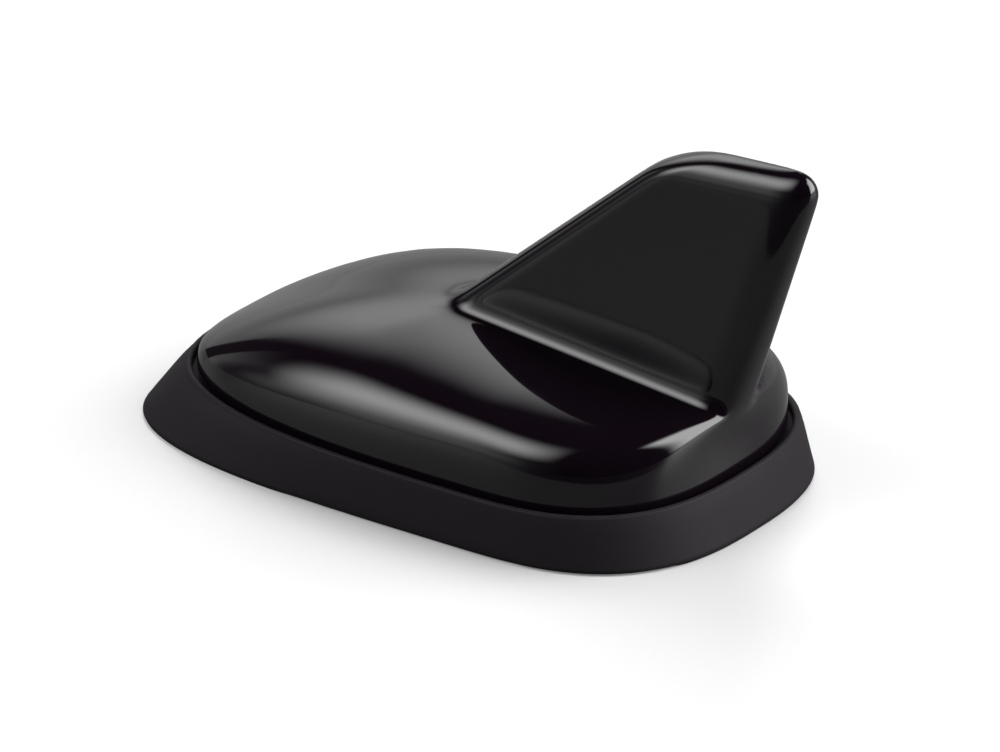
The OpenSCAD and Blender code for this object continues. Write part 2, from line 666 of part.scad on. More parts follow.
// Rubber bush in the base that the lead comes out through
module cable_grommet() {
    inset = 0.1;
    flange_t = 1.2;
    color([0.1, 0.1, 0.1]) translate([inlet_pos.x, inlet_pos.y, 0]) difference() {
        union() {
            translate([0, 0, inset]) cylinder(r = neck_r, h = base_top);
            translate([0, 0, inset]) cylinder(r = flange_r, h = pad_t - inset);
            translate([0, 0, base_top]) cylinder(r = flange_r, h = flange_t);
        }
        translate([0, 0, -1]) cylinder(r = inlet_r, h = base_top + flange_t + 2);
    }
}

// Brass saddle that grips the lead's screen on the board
module lead_clamp() {
    side = 5;
    height = 2.6;
    screen_r = 1;
    away = 7.5;
    color([0.8, 0.68, 0.4]) translate([inlet_pos.x - away, inlet_pos.y, board_top]) difference() {
        translate([-side / 2, -side / 2, 0]) cube([side, side, height]);
        translate([0, 0, screen_r + 0.2]) rotate([0, 90, 0])
            cylinder(r = screen_r, h = side + 2, center = true);
    }
}

// Breathing plug that lets the sealed cover equalise
module vent_plug() {
    color([0.85, 0.85, 0.86]) translate([vent_pos.x, vent_pos.y, pad_t]) difference() {
        union() {
            cylinder(r = 3, h = base_t);
            translate([0, 0, base_t]) cylinder(r = 3.8, h = 0.8);
        }
        translate([0, 0, -1]) cylinder(r = 1, h = base_t + 1);
    }
}

cover();
skirt();
base_plate();
adhesive_pad();
seal_ring();
main_board();
shield_can();
amplifier_chip();
filter_parts();
patch_ceramic();
patch_electrode();
patch_feed_pin();
patch_tape();
antenna_carrier();
radiator();
coil_former();
loading_coil();
contact_spring();
fin_pad();
board_screws();
carrier_screws();
cover_screws();
cable_grommet();
lead_clamp();
vent_plug();
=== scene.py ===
# Roof aerial with a shark fin cover on a rubber skirt, dressed from the roof up and set in a small studio.
from math import cos, pi, radians, sin

import bpy
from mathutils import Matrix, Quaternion, Vector


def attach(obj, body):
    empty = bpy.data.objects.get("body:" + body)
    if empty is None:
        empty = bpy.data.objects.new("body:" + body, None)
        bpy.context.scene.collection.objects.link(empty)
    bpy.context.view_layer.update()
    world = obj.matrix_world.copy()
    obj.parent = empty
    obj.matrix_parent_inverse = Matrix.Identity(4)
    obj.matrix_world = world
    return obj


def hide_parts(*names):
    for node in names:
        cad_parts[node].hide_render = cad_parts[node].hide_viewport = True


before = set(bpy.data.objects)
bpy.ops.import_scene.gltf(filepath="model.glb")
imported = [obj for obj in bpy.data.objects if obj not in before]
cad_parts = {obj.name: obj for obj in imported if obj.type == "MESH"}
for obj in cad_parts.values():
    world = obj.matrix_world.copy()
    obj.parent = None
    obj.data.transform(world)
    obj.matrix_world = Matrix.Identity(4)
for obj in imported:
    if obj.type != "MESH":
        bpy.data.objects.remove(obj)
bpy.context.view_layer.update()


# Foam mounting pad
# A die-cut pad of closed-cell acrylic foam that sticks the base to the roof. Its skin is pebbled by the cells
# below it, some of which lie open where the knife cut through them. These open cells are sunk and coloured
# darker, as painted shade in their hollows.
def grain_group():
    """Shared grain of moulded, cast and foamed parts: a height, a mottle and a roughness that vary over it."""
    group = bpy.data.node_groups.new("part_grain", "ShaderNodeTree")
    sockets = group.interface
    for name, value in (("Scale", 1500.0), ("Detail", 3.0), ("Roughness", 0.5), ("Spread", 0.08)):
        sockets.new_socket(name, in_out="INPUT", socket_type="NodeSocketFloat").default_value = value
    for name in ("Height", "Mottle", "Roughness"):
        sockets.new_socket(name, in_out="OUTPUT", socket_type="NodeSocketFloat")
    nodes, links = group.nodes, group.links
    given, result = nodes.new("NodeGroupInput"), nodes.new("NodeGroupOutput")
    spot = nodes.new("ShaderNodeTexCoord")
    fine, broad = nodes.new("ShaderNodeTexNoise"), nodes.new("ShaderNodeTexNoise")
    broad.inputs["Scale"].default_value = 60.0
    broad.inputs["Detail"].default_value = 4.0
    spread = nodes.new("ShaderNodeMapRange")
    spread.inputs["From Min"].default_value = 0.3
    spread.inputs["From Max"].default_value = 0.7
    low, high = nodes.new("ShaderNodeMath"), nodes.new("ShaderNodeMath")
    low.operation, high.operation = "SUBTRACT", "ADD"
    links.new(spot.outputs["Object"], fine.inputs["Vector"])
    links.new(spot.outputs["Object"], broad.inputs["Vector"])
    links.new(given.outputs["Scale"], fine.inputs["Scale"])
    links.new(given.outputs["Detail"], fine.inputs["Detail"])
    for step in (low, high):
        links.new(given.outputs["Roughness"], step.inputs[0])
        links.new(given.outputs["Spread"], step.inputs[1])
    links.new(broad.outputs["Fac"], spread.inputs["Value"])
    links.new(low.outputs[0], spread.inputs["To Min"])
    links.new(high.outputs[0], spread.inputs["To Max"])
    links.new(fine.outputs["Fac"], result.inputs["Height"])
    links.new(broad.outputs["Fac"], result.inputs["Mottle"])
    links.new(spread.outputs["Result"], result.inputs["Roughness"])
    return group


GRAIN = grain_group()


def grained(name, dark, light, rough, spread=0.08, scale=1500.0, depth=0.00002, strength=0.3, metallic=0.0,
            specular=0.5):
    """Material with the shared grain. Its colour runs from dark to light, and the depth of its bump is in
    metres."""
    material = bpy.data.materials.new(name)
    material.use_nodes = True
    nodes, links = material.node_tree.nodes, material.node_tree.links
    shader = nodes["Principled BSDF"]
    shader.inputs["Metallic"].default_value = metallic
    shader.inputs["Specular IOR Level"].default_value = specular
    grain = nodes.new("ShaderNodeGroup")
    grain.node_tree = GRAIN
    grain.inputs["Scale"].default_value = scale
    grain.inputs["Roughness"].default_value = rough
    grain.inputs["Spread"].default_value = spread
    tones = nodes.new("ShaderNodeMix")
    tones.data_type = "RGBA"
    tones.inputs["A"].default_value = (*dark, 1.0)
    tones.inputs["B"].default_value = (*light, 1.0)
    bump = nodes.new("ShaderNodeBump")
    bump.inputs["Strength"].default_value = strength
    bump.inputs["Distance"].default_value = depth
    links.new(grain.outputs["Mottle"], tones.inputs["Factor"])
    links.new(tones.outputs["Result"], shader.inputs["Base Color"])
    links.new(grain.outputs["Roughness"], shader.inputs["Roughness"])
    links.new(grain.outputs["Height"], bump.inputs["Height"])
    links.new(bump.outputs["Normal"], shader.inputs["Normal"])
    return material


def texture(material, kind, **values):
    """Texture node in a material, on Object coordinates. Values name its settings or its inputs."""
    nodes, links = material.node_tree.nodes, material.node_tree.links
    step = nodes.new("ShaderNodeTex" + kind)
    for name, value in values.items():
        if hasattr(step, name):
            setattr(step, name, value)
        else:
            step.inputs[name].default_value = value
    links.new(nodes.new("ShaderNodeTexCoord").outputs["Object"], step.inputs["Vector"])
    return step


def mask(owner, value, none, full):
    """Soft mask from a value: 0 where it is none, 1 where it is full. Its owner is a material, a lamp or the
    world."""
    step = owner.node_tree.nodes.new("ShaderNodeMapRange")
    step.interpolation_type = "SMOOTHSTEP"
    step.inputs["From Min"].default_value = min(none, full)
    step.inputs["From Max"].default_value = max(none, full)
    step.inputs["To Min"].default_value = float(none > full)
    step.inputs["To Max"].default_value = float(none < full)
    owner.node_tree.links.new(value, step.inputs["Value"])
    return step.outputs["Result"]


def lay_over(material, where, color=None, rough=None, metallic=None):
    """Lays a second finish over the first one where the mask is 1."""
    nodes, links = material.node_tree.nodes, material.node_tree.links
    for name, value in (("Base Color", color), ("Roughness", rough), ("Metallic", metallic)):
        if value is None:
            continue
        socket = nodes["Principled BSDF"].inputs[name]
        blend = nodes.new("ShaderNodeMix")
        blend.data_type = "RGBA" if color is value else "FLOAT"
        if socket.is_linked:
            links.new(socket.links[0].from_socket, blend.inputs["A"])
        else:
            blend.inputs["A"].default_value = socket.default_value
        blend.inputs["B"].default_value = (*value, 1.0) if color is value else value
        links.new(where, blend.inputs["Factor"])
        links.new(blend.outputs["Result"], socket)


def emboss(material, where, depth):
    """Raises the surface where the mask is 1, or sinks it for a negative depth, under its grain."""
    nodes, links = material.node_tree.nodes, material.node_tree.links
    normal = nodes["Principled BSDF"].inputs["Normal"]
    relief = nodes.new("ShaderNodeBump")
    relief.invert = depth < 0.0
    relief.inputs["Distance"].default_value = abs(depth)
    links.new(where, relief.inputs["Height"])
    links.new(normal.links[0].from_socket, relief.inputs["Normal"])
    links.new(relief.outputs["Normal"], normal)


def dress(node_name, material):
    """Gives a CAD node its finish."""
    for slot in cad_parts[node_name].material_slots:
        slot.material = material


foam = grained("foam", dark=(0.09, 0.09, 0.095), light=(0.16, 0.16, 0.17), rough=0.85, scale=2600, depth=0.0001,
               strength=0.6)
cells = texture(foam, "Voronoi", Scale=1300.0)
shaded_open_cells = mask(foam, cells.outputs["Distance"], none=0.42, full=0.18)
# Painted shade: the open cells are coloured darker, as the shade in their hollows.
lay_over(foam, shaded_open_cells, color=(0.055, 0.055, 0.058))
emboss(foam, shaded_open_cells, depth=-0.00012)
dress("adhesive_pad", foam)


# Base plate
# A plate with a rim and standoffs, moulded in black glass-filled nylon. The mould's spark-eroded skin leaves
# it matt, and short fibres show as pale flecks.
def reckon(owner, operation, *values):
    """Result of a Math node, each of its values a number or a socket."""
    step = owner.node_tree.nodes.new("ShaderNodeMath")
    step.operation = operation
    for socket, value in zip(step.inputs, values):
        if isinstance(value, (int, float)):
            socket.default_value = value
        else:
            owner.node_tree.links.new(value, socket)
    return step.outputs[0]


base_nylon = grained("base_nylon", dark=(0.024, 0.024, 0.026), light=(0.036, 0.036, 0.038), rough=0.55,
                     scale=2200, depth=0.00006, strength=0.6)
fibres = texture(base_nylon, "Wave", Scale=420.0, Distortion=38.0, Detail=3.0)
fibres.inputs["Detail Scale"].default_value = 2.4
breaks = texture(base_nylon, "Noise", Scale=1900.0)
flecks = reckon(base_nylon, "MULTIPLY", mask(base_nylon, fibres.outputs["Fac"], none=0.93, full=0.99),
                mask(base_nylon, breaks.outputs["Fac"], none=0.5, full=0.62))
lay_over(base_nylon, flecks, color=(0.10, 0.10, 0.105), rough=0.4)
dress("base_plate", base_nylon)


# Vent plug
# A white polypropylene plug that snaps into the base. A felted membrane over its middle lets air through and
# keeps water out.
def extent(node_name):
    """Lowest and highest corner of a CAD node, in metres."""
    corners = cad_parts[node_name].bound_box
    return Vector(corners[0]), Vector(corners[6])


def place(material):
    """X, Y and Z of the piece's own frame, in metres."""
    nodes, links = material.node_tree.nodes, material.node_tree.links
    split = nodes.new("ShaderNodeSeparateXYZ")
    links.new(nodes.new("ShaderNodeTexCoord").outputs["Object"], split.inputs["Vector"])
    return split.outputs


def diagonal(material, across, along):
    """Length of the diagonal that two lengths at right angles give."""
    return reckon(material, "SQRT", reckon(material, "ADD", reckon(material, "MULTIPLY", across, across),
                                           reckon(material, "MULTIPLY", along, along)))


def from_axis(material, centre):
    """Distance from the upright axis through a centre, in metres."""
    across, along, _ = place(material)
    return diagonal(material, reckon(material, "SUBTRACT", across, centre.x),
                    reckon(material, "SUBTRACT", along, centre.y))


plug_low, plug_high = extent("vent_plug")
membrane_radius = 0.0025
vent_white = grained("vent_white", dark=(0.70, 0.70, 0.69), light=(0.80, 0.80, 0.79), rough=0.4, scale=900)
membrane = mask(vent_white, from_axis(vent_white, (plug_low + plug_high) / 2), none=membrane_radius + 0.0001,
                full=membrane_radius - 0.0001)
lay_over(vent_white, membrane, color=(0.62, 0.62, 0.60), rough=0.9)
felt = texture(vent_white, "Noise", Scale=5200.0)
emboss(vent_white, reckon(vent_white, "MULTIPLY", felt.outputs["Fac"], membrane), depth=0.0001)
dress("vent_plug", vent_white)


# Inlet bush
# Soft black rubber, pushed into the base's hole. The mould left it slightly bloomed, with a fine flash line
# round the middle of its height.
def apart(material, value, middle):
    """How far a value is from a middle one, to either side."""
    return reckon(material, "ABSOLUTE", reckon(material, "SUBTRACT", value, middle))


bush_low, bush_high = extent("cable_grommet")
soft_rubber = grained("soft_rubber", dark=(0.016, 0.016, 0.017), light=(0.028, 0.028, 0.029), rough=0.65,
                      scale=1200, depth=0.00004, strength=0.5)
bloom = texture(soft_rubber, "Noise", Scale=260.0, Detail=5.0)
lay_over(soft_rubber, mask(soft_rubber, bloom.outputs["Fac"], none=0.55, full=0.72), color=(0.05, 0.05, 0.052),
         rough=0.8)
from_flash = apart(soft_rubber, place(soft_rubber)["Z"], (bush_low.z + bush_high.z) / 2)
emboss(soft_rubber, mask(soft_rubber, from_flash, none=0.00012, full=0.00004), depth=0.00008)
dress("cable_grommet", soft_rubber)


# Skirt
# A ring of soft black rubber, moulded with a raked wall, a rounded lip and a narrow groove. The cover stands on
# its ledge and presses its foot to the roof.
def smoothed_copy(node_name, name, material):
    """Copy of a CAD node as one smooth skin: welded, back to quads, its sharp edges kept, then subdivided."""
    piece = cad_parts[node_name].copy()
    piece.data = piece.data.copy()
    piece.name = name
    bpy.context.collection.objects.link(piece)
    bpy.ops.object.select_all(action="DESELECT")
    piece.select_set(True)
    bpy.context.view_layer.objects.active = piece
    bpy.ops.object.mode_set(mode="EDIT")
    bpy.ops.mesh.select_all(action="SELECT")
    bpy.ops.mesh.remove_doubles(threshold=1e-6)
    bpy.ops.mesh.tris_convert_to_quads(face_threshold=radians(180), shape_threshold=radians(180))
    bpy.ops.mesh.select_all(action="DESELECT")
    bpy.ops.mesh.select_mode(type="EDGE")
    bpy.ops.mesh.edges_select_sharp(sharpness=radians(50))
    bpy.ops.transform.edge_crease(value=1.0)
    bpy.ops.object.mode_set(mode="OBJECT")
    smooth = piece.modifiers.new("smooth", "SUBSURF")
    smooth.levels = smooth.render_levels = 2
    bpy.ops.object.modifier_apply(modifier="smooth")
    bpy.ops.object.shade_smooth_by_angle(angle=radians(40))
    piece.data.materials.clear()
    piece.data.materials.append(material)
    return piece


skirt_rubber = grained("skirt_rubber", dark=(0.0110, 0.0094, 0.0110), light=(0.0130, 0.0112, 0.0130), rough=0.6,
                       spread=0.05, scale=3500, depth=0.00003, strength=0.4, specular=0.09)
skirt = smoothed_copy("skirt", "rubber_skirt", skirt_rubber)
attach(skirt, "root")
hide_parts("skirt")

# Cord seal
# A round rubber cord in the groove of the base's rim, pressed flat by the cover's wall. It comes off an
# extruder, so its skin is smooth, with fine lines along it.
cord_rubber = grained("cord_rubber", dark=(0.014, 0.014, 0.015), light=(0.02, 0.02, 0.021), rough=0.45, scale=800)
die_lines = reckon(cord_rubber, "PINGPONG", place(cord_rubber)["Z"], 0.00008)
emboss(cord_rubber, mask(cord_rubber, die_lines, none=0.00002, full=0.00006), depth=0.00001)
dress("seal_ring", cord_rubber)

# Circuit board
# Glass-epoxy laminate under a green solder mask. Copper tracks show through the mask as a lighter green, the
# vias are tinned, with their holes painted black as painted shade, and the cut edge shows the bare laminate.
half_pitch, half_track, track_edge = 0.00045, 0.00019, 0.00003
ply = 0.0001
solder_mask = grained("solder_mask", dark=(0.004, 0.065, 0.02), light=(0.007, 0.10, 0.032), rough=0.28, scale=500)
across, along, height = place(solder_mask)
lengthwise, crosswise = (
    mask(solder_mask, reckon(solder_mask, "PINGPONG", line, half_pitch), none=half_track + track_edge,
         full=half_track - track_edge)
    for line in (across, along))
fields = texture(solder_mask, "Voronoi", Scale=150.0, distance="CHEBYCHEV")
field = solder_mask.node_tree.nodes.new("ShaderNodeSeparateColor")
solder_mask.node_tree.links.new(fields.outputs["Color"], field.inputs["Color"])
turned = mask(solder_mask, field.outputs["Red"], none=0.49, full=0.51)
filled = mask(solder_mask, field.outputs["Green"], none=0.34, full=0.36)
tracks = reckon(solder_mask, "ADD", reckon(solder_mask, "MULTIPLY", lengthwise, turned),
                reckon(solder_mask, "MULTIPLY", crosswise, reckon(solder_mask, "SUBTRACT", 1.0, turned)))
tracks = reckon(solder_mask, "MULTIPLY", tracks, filled)
lay_over(solder_mask, tracks, color=(0.02, 0.17, 0.06))
emboss(solder_mask, tracks, depth=0.00003)
vias = texture(solder_mask, "Voronoi", Scale=230.0, Randomness=0.8).outputs["Distance"]
lay_over(solder_mask, mask(solder_mask, vias, none=0.12, full=0.10), color=(0.62, 0.62, 0.60), rough=0.35,
         metallic=1.0)
# Painted shade: each via's hole is coloured black, as the shade inside it.
lay_over(solder_mask, mask(solder_mask, vias, none=0.055, full=0.045), color=(0.01, 0.01, 0.01), rough=0.9,
         metallic=0.0)
facing = solder_mask.node_tree.nodes.new("ShaderNodeSeparateXYZ")
solder_mask.node_tree.links.new(solder_mask.node_tree.nodes.new("ShaderNodeTexCoord").outputs["Normal"],
                                facing.inputs["Vector"])
edge = mask(solder_mask, reckon(solder_mask, "ABSOLUTE", facing.outputs["Z"]), none=0.6, full=0.4)
lay_over(solder_mask, edge, color=(0.34, 0.32, 0.14), rough=0.75, metallic=0.0)
plies = mask(solder_mask, reckon(solder_mask, "PINGPONG", height, ply), none=0.00004, full=0.00008)
lay_over(solder_mask, reckon(solder_mask, "MULTIPLY", edge, plies), color=(0.22, 0.22, 0.10))
dress("main_board", solder_mask)


# Small parts, amplifier and shield can
# Ceramic filters with tinned ends stand in two rows. The amplifier is a black epoxy package with tinned leads
# and a round mark at its first lead. A tin can, drawn and folded from sheet, goes over it.
def drawn_group():
    """Shared lines of drawn and rolled sheet, along X: a height and a tone."""
    group = bpy.data.node_groups.new("drawn_lines", "ShaderNodeTree")
    group.interface.new_socket("Scale", in_out="INPUT", socket_type="NodeSocketFloat").default_value = 400.0
    for name in ("Height", "Tone"):
        group.interface.new_socket(name, in_out="OUTPUT", socket_type="NodeSocketFloat")
    nodes, links = group.nodes, group.links
    given, result = nodes.new("NodeGroupInput"), nodes.new("NodeGroupOutput")
    spot = nodes.new("ShaderNodeTexCoord")
    stretch = nodes.new("ShaderNodeMapping")
    stretch.inputs["Scale"].default_value = (0.04, 1.0, 1.0)
    lines, stains = nodes.new("ShaderNodeTexNoise"), nodes.new("ShaderNodeTexNoise")
    lines.inputs["Detail"].default_value = 6.0
    stains.inputs["Scale"].default_value = 130.0
    stains.inputs["Detail"].default_value = 5.0
    links.new(spot.outputs["Object"], stretch.inputs["Vector"])
    links.new(stretch.outputs["Vector"], lines.inputs["Vector"])
    links.new(given.outputs["Scale"], lines.inputs["Scale"])
    links.new(spot.outputs["Object"], stains.inputs["Vector"])
    links.new(lines.outputs["Fac"], result.inputs["Height"])
    links.new(stains.outputs["Fac"], result.inputs["Tone"])
    return group


DRAWN = drawn_group()


def drawn(material, tarnish, scale=4000.0, depth=0.00001):
    """Puts drawn lines and spots of tarnish on a sheet metal."""
    lines = material.node_tree.nodes.new("ShaderNodeGroup")
    lines.node_tree = DRAWN
    lines.inputs["Scale"].default_value = scale
    emboss(material, lines.outputs["Height"], depth)
    lay_over(material, mask(material, lines.outputs["Tone"], none=0.55, full=0.75), color=tarnish, rough=0.5)
    return material


part_length, part_step = 0.002, 0.0032
first_part_low, _ = extent("filter_parts")
filter_ceramic = grained("filter_ceramic", dark=(0.30, 0.19, 0.11), light=(0.42, 0.28, 0.17), rough=0.45,
                         scale=3000)
from_middle = reckon(filter_ceramic, "PINGPONG",
                     reckon(filter_ceramic, "SUBTRACT", place(filter_ceramic)["X"],
                            first_part_low.x + part_length / 2), part_step / 2)
lay_over(filter_ceramic, mask(filter_ceramic, from_middle, none=0.0006, full=0.0007), color=(0.68, 0.68, 0.66),
         rough=0.3, metallic=1.0)
dress("filter_parts", filter_ceramic)

package_low, package_high = extent("amplifier_chip")
package_middle = (package_low + package_high) / 2
lead_length = 0.0006
half_body = package_high.x - package_middle.x - lead_length
mark_radius = 0.0003
mark_middle = package_middle + Vector((-0.0016, 0.0015, 0.0))
package = grained("package", dark=(0.018, 0.018, 0.018), light=(0.028, 0.028, 0.029), rough=0.55, scale=3200,
                  strength=0.6)
mark = mask(package, from_axis(package, mark_middle), none=mark_radius + 0.00002, full=mark_radius - 0.00002)
lay_over(package, mark, color=(0.06, 0.06, 0.06), rough=0.3)
emboss(package, mark, depth=-0.00005)
leads = mask(package, apart(package, place(package)["X"], package_middle.x), none=half_body + 0.00001,
             full=half_body + 0.00003)
lay_over(package, leads, color=(0.66, 0.66, 0.64), rough=0.3, metallic=1.0)
dress("amplifier_chip", package)

tin_sheet = grained("tin_sheet", dark=(0.58, 0.58, 0.58), light=(0.68, 0.68, 0.67), rough=0.32, metallic=1.0)
dress("shield_can", drawn(tin_sheet, tarnish=(0.44, 0.43, 0.40)))

# Satellite patch
# A fired ceramic block on double-sided tape, with a square of silver printed on it through a fine screen. A
# brass pin passes through to the board, under a dome of solder.
tape = grained("film_tape", dark=(0.72, 0.68, 0.54), light=(0.80, 0.76, 0.62), rough=0.45, scale=700)
bubbles = texture(tape, "Voronoi", Scale=420.0)
lay_over(tape, mask(tape, bubbles.outputs["Distance"], none=0.3, full=0.12), color=(0.86, 0.83, 0.72))
dress("patch_tape", tape)

ceramic = grained("fired_ceramic", dark=(0.50, 0.40, 0.28), light=(0.60, 0.49, 0.35), rough=0.6, scale=2400,
                  depth=0.00004, strength=0.5)
pores = texture(ceramic, "Voronoi", Scale=1500.0)
shaded_pits = mask(ceramic, pores.outputs["Distance"], none=0.17, full=0.10)
# Painted shade: the pores are sunk and coloured darker, as the shade in their hollows.
lay_over(ceramic, shaded_pits, color=(0.22, 0.16, 0.10), rough=0.9)
emboss(ceramic, shaded_pits, depth=-0.00006)
dress("patch_ceramic", ceramic)

screen_step = 0.0001
silver = grained("silver_print", dark=(0.76, 0.75, 0.71), light=(0.85, 0.84, 0.80), rough=0.42, metallic=1.0)
across, along, _ = place(silver)
mesh_marks = reckon(silver, "MULTIPLY", reckon(silver, "PINGPONG", across, screen_step),
                    reckon(silver, "PINGPONG", along, screen_step))
emboss(silver, mask(silver, mesh_marks, none=0.0, full=screen_step ** 2), depth=0.00002)
dress("patch_electrode", drawn(silver, tarnish=(0.55, 0.50, 0.40), depth=0.000004))

solder_grey = (0.66, 0.66, 0.65)
_, electrode_high = extent("patch_electrode")
pin_brass = grained("pin_brass", dark=(0.60, 0.45, 0.18), light=(0.72, 0.56, 0.26), rough=0.3, metallic=1.0)
dome = mask(pin_brass, place(pin_brass)["Z"], none=electrode_high.z - 0.00008, full=electrode_high.z)
lay_over(pin_brass, dome, color=solder_grey, rough=0.22)
flux = texture(pin_brass, "Noise", Scale=1400.0)
lay_over(pin_brass, mask(pin_brass, flux.outputs["Fac"], none=0.6, full=0.72), color=(0.45, 0.36, 0.2), rough=0.4)
dress("patch_feed_pin", pin_brass)

# Lead clamp
# A saddle bent from brass strip, soldered to the board by its foot. It grips the screen of the lead.
_, board_high = extent("main_board")
clamp_brass = drawn(grained("clamp_brass", dark=(0.56, 0.38, 0.13), light=(0.68, 0.49, 0.2), rough=0.3,
                            metallic=1.0), tarnish=(0.34, 0.24, 0.10))
wetting = texture(clamp_brass, "Noise", Scale=900.0)
rise = reckon(clamp_brass, "ADD", place(clamp_brass)["Z"],
              reckon(clamp_brass, "MULTIPLY", wetting.outputs["Fac"], -0.0008))
fillet = mask(clamp_brass, rise, none=board_high.z + 0.0003, full=board_high.z + 0.0002)
lay_over(clamp_brass, fillet, color=solder_grey, rough=0.25)
dress("lead_clamp", clamp_brass)

# Screws
# Pan-head steel screws with a pale zinc coat. The rolling of the thread leaves it in bands, and the coat is
# rubbed bright in patches where the driver turned.
half_thread = 0.00025
zinc = grained("zinc_coat", dark=(0.50, 0.50, 0.53), light=(0.64, 0.64, 0.67), rough=0.32, scale=2800,
               metallic=1.0)
thread = reckon(zinc, "PINGPONG", place(zinc)["Z"], half_thread)
emboss(zinc, mask(zinc, thread, none=0.0, full=half_thread), depth=0.00006)
rubbed = texture(zinc, "Noise", Scale=1100.0, Detail=5.0)
lay_over(zinc, mask(zinc, rubbed.outputs["Fac"], none=0.56, full=0.7), color=(0.74, 0.73, 0.68), rough=0.2)
for screws in ("board_screws", "carrier_screws", "cover_screws"):
    dress(screws, zinc)

# Contact spring, post and coil
# A gilt spring strip stands on the board and touches the coil's foot. The coil is enamelled copper, wound
# on a turned nylon post, with its ends tinned.
gilt = grained("gilt", dark=(0.68, 0.47, 0.16), light=(0.80, 0.58, 0.23), rough=0.2, metallic=1.0)
dress("contact_spring", drawn(gilt, tarnish=(0.62, 0.42, 0.18)))

nylon = grained("nylon", dark=(0.66, 0.64, 0.56), light=(0.74, 0.72, 0.65), rough=0.45, scale=1600, strength=0.5)
flow = texture(nylon, "Wave", Scale=26.0, Distortion=9.0, Detail=3.0)
lay_over(nylon, mask(nylon, flow.outputs["Fac"], none=0.7, full=1.0), color=(0.79, 0.77, 0.70), rough=0.38)
dress("coil_former", nylon)

coil_low, coil_high = extent("loading_coil")
half_coil = (coil_high.z - coil_low.z) / 2
enamel = grained("enamelled_copper", dark=(0.42, 0.13, 0.045), light=(0.55, 0.2, 0.075), rough=0.2, scale=1800,
                 metallic=1.0)
runs = texture(enamel, "Noise", Scale=650.0, Detail=4.0)
lay_over(enamel, mask(enamel, runs.outputs["Fac"], none=0.5, full=0.7), color=(0.30, 0.085, 0.03), rough=0.28)
from_waist = apart(enamel, place(enamel)["Z"], (coil_low.z + coil_high.z) / 2)
tinned = mask(enamel, from_waist, none=half_coil - 0.00034, full=half_coil - 0.00014)
lay_over(enamel, tinned, color=(0.66, 0.65, 0.62), rough=0.3)
dress("loading_coil", enamel)

# Frame and radio element
# The frame is moulded in natural nylon, with pale flow lines and the round marks of ejector pins, whose sunk
# rings are coloured darker as painted shade. A saddle folded from rolled brass sits over its top, with a tongue
# down to the coil.
pin_radius = 0.001
half_pin_step = 0.006
pin_start = Vector((-0.003, 0.0, -0.002))
frame_nylon = nylon.copy()
frame_nylon.name = "frame_nylon"
across, _, height = place(frame_nylon)
row, level = (reckon(frame_nylon, "PINGPONG", reckon(frame_nylon, "SUBTRACT", line, start), half_pin_step)
              for line, start in ((across, pin_start.x), (height, pin_start.z)))
ring = mask(frame_nylon, apart(frame_nylon, diagonal(frame_nylon, row, level), pin_radius), none=0.00015,
            full=0.00005)
# Painted shade: the sunk ring of each ejector mark is coloured darker, as the shade in its groove.
lay_over(frame_nylon, ring, color=(0.56, 0.54, 0.47))
emboss(frame_nylon, ring, depth=-0.00006)
dress("antenna_carrier", frame_nylon)
rolled_brass = grained("rolled_brass", dark=(0.56, 0.39, 0.15), light=(0.68, 0.50, 0.22), rough=0.28,
                       metallic=1.0)
dress("radiator", drawn(rolled_brass, tarnish=(0.38, 0.26, 0.11), scale=2600.0))

# Pad in the fin
# A strip of the same foam, pressed between the radio element and the fin's ceiling against rattling.
dress("fin_pad", foam)

# Cover
# One moulding of black gloss plastic, polished in the mould: the dome and the fin grow out of each other over
# a hollow blend, and the four screw bosses stand inside.
gloss_black = grained("gloss_black", dark=(0.0030, 0.0018, 0.0030), light=(0.0036, 0.0022, 0.0036), rough=0.06,
                      spread=0.015, scale=120, depth=0.00001, strength=0.05)
cover = smoothed_copy("cover", "fin_cover", gloss_black)
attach(cover, "root")
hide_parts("cover")


# Floor and room
# A white sweep that keeps the aerial's shadow. The room is white to the eye; in the gloss it is grey, and
# dark on the camera's side, overhead and in an upright band past the nose.
def direction(azimuth, elevation):
    """Unit vector from the aerial towards a place in the room, in degrees."""
    az, el = radians(azimuth), radians(elevation)
    return Vector((cos(az) * cos(el), sin(az) * cos(el), sin(el)))


def measured(owner, operation, spot, way=None):
    """Value that a Vector Math node gives for a spot, and for a way where the operation takes one."""
    step = owner.node_tree.nodes.new("ShaderNodeVectorMath")
    step.operation = operation
    owner.node_tree.links.new(spot, step.inputs[0])
    if way is not None:
        step.inputs[1].default_value = way
    return step.outputs["Value"]


def between(owner, share, start, end):
    """Value that runs from the start to the end as the share runs from 0 to 1."""
    return reckon(owner, "MULTIPLY_ADD", share, end - start, start)


bpy.ops.mesh.primitive_plane_add(size=30.0)
floor = bpy.context.object
floor.name = "floor"
floor_white = bpy.data.materials.new("floor_white")
floor_white.use_nodes = True
nodes, links = floor_white.node_tree.nodes, floor_white.node_tree.links
shader = nodes["Principled BSDF"]
shader.inputs["Roughness"].default_value = 0.3
shader.inputs["Specular IOR Level"].default_value = 0.1
shader.inputs["Emission Color"].default_value = (1.0, 1.0, 1.0, 1.0)
floor.data.materials.append(floor_white)

# The eye sees white paint with a faint glow. The gloss sees a darker paint, with painted light that makes it a
# little lighter behind the aerial, where the lamps light it, and farther out it sees the room through the floor,
# so that no dark horizon shows.
eye_paint, eye_glow = 0.4, 0.16
gloss_paint, gloss_paint_lit_behind = 0.115, 0.15
seen = nodes.new("ShaderNodeLightPath").outputs["Is Camera Ray"]
spot = nodes.new("ShaderNodeTexCoord").outputs["Object"]
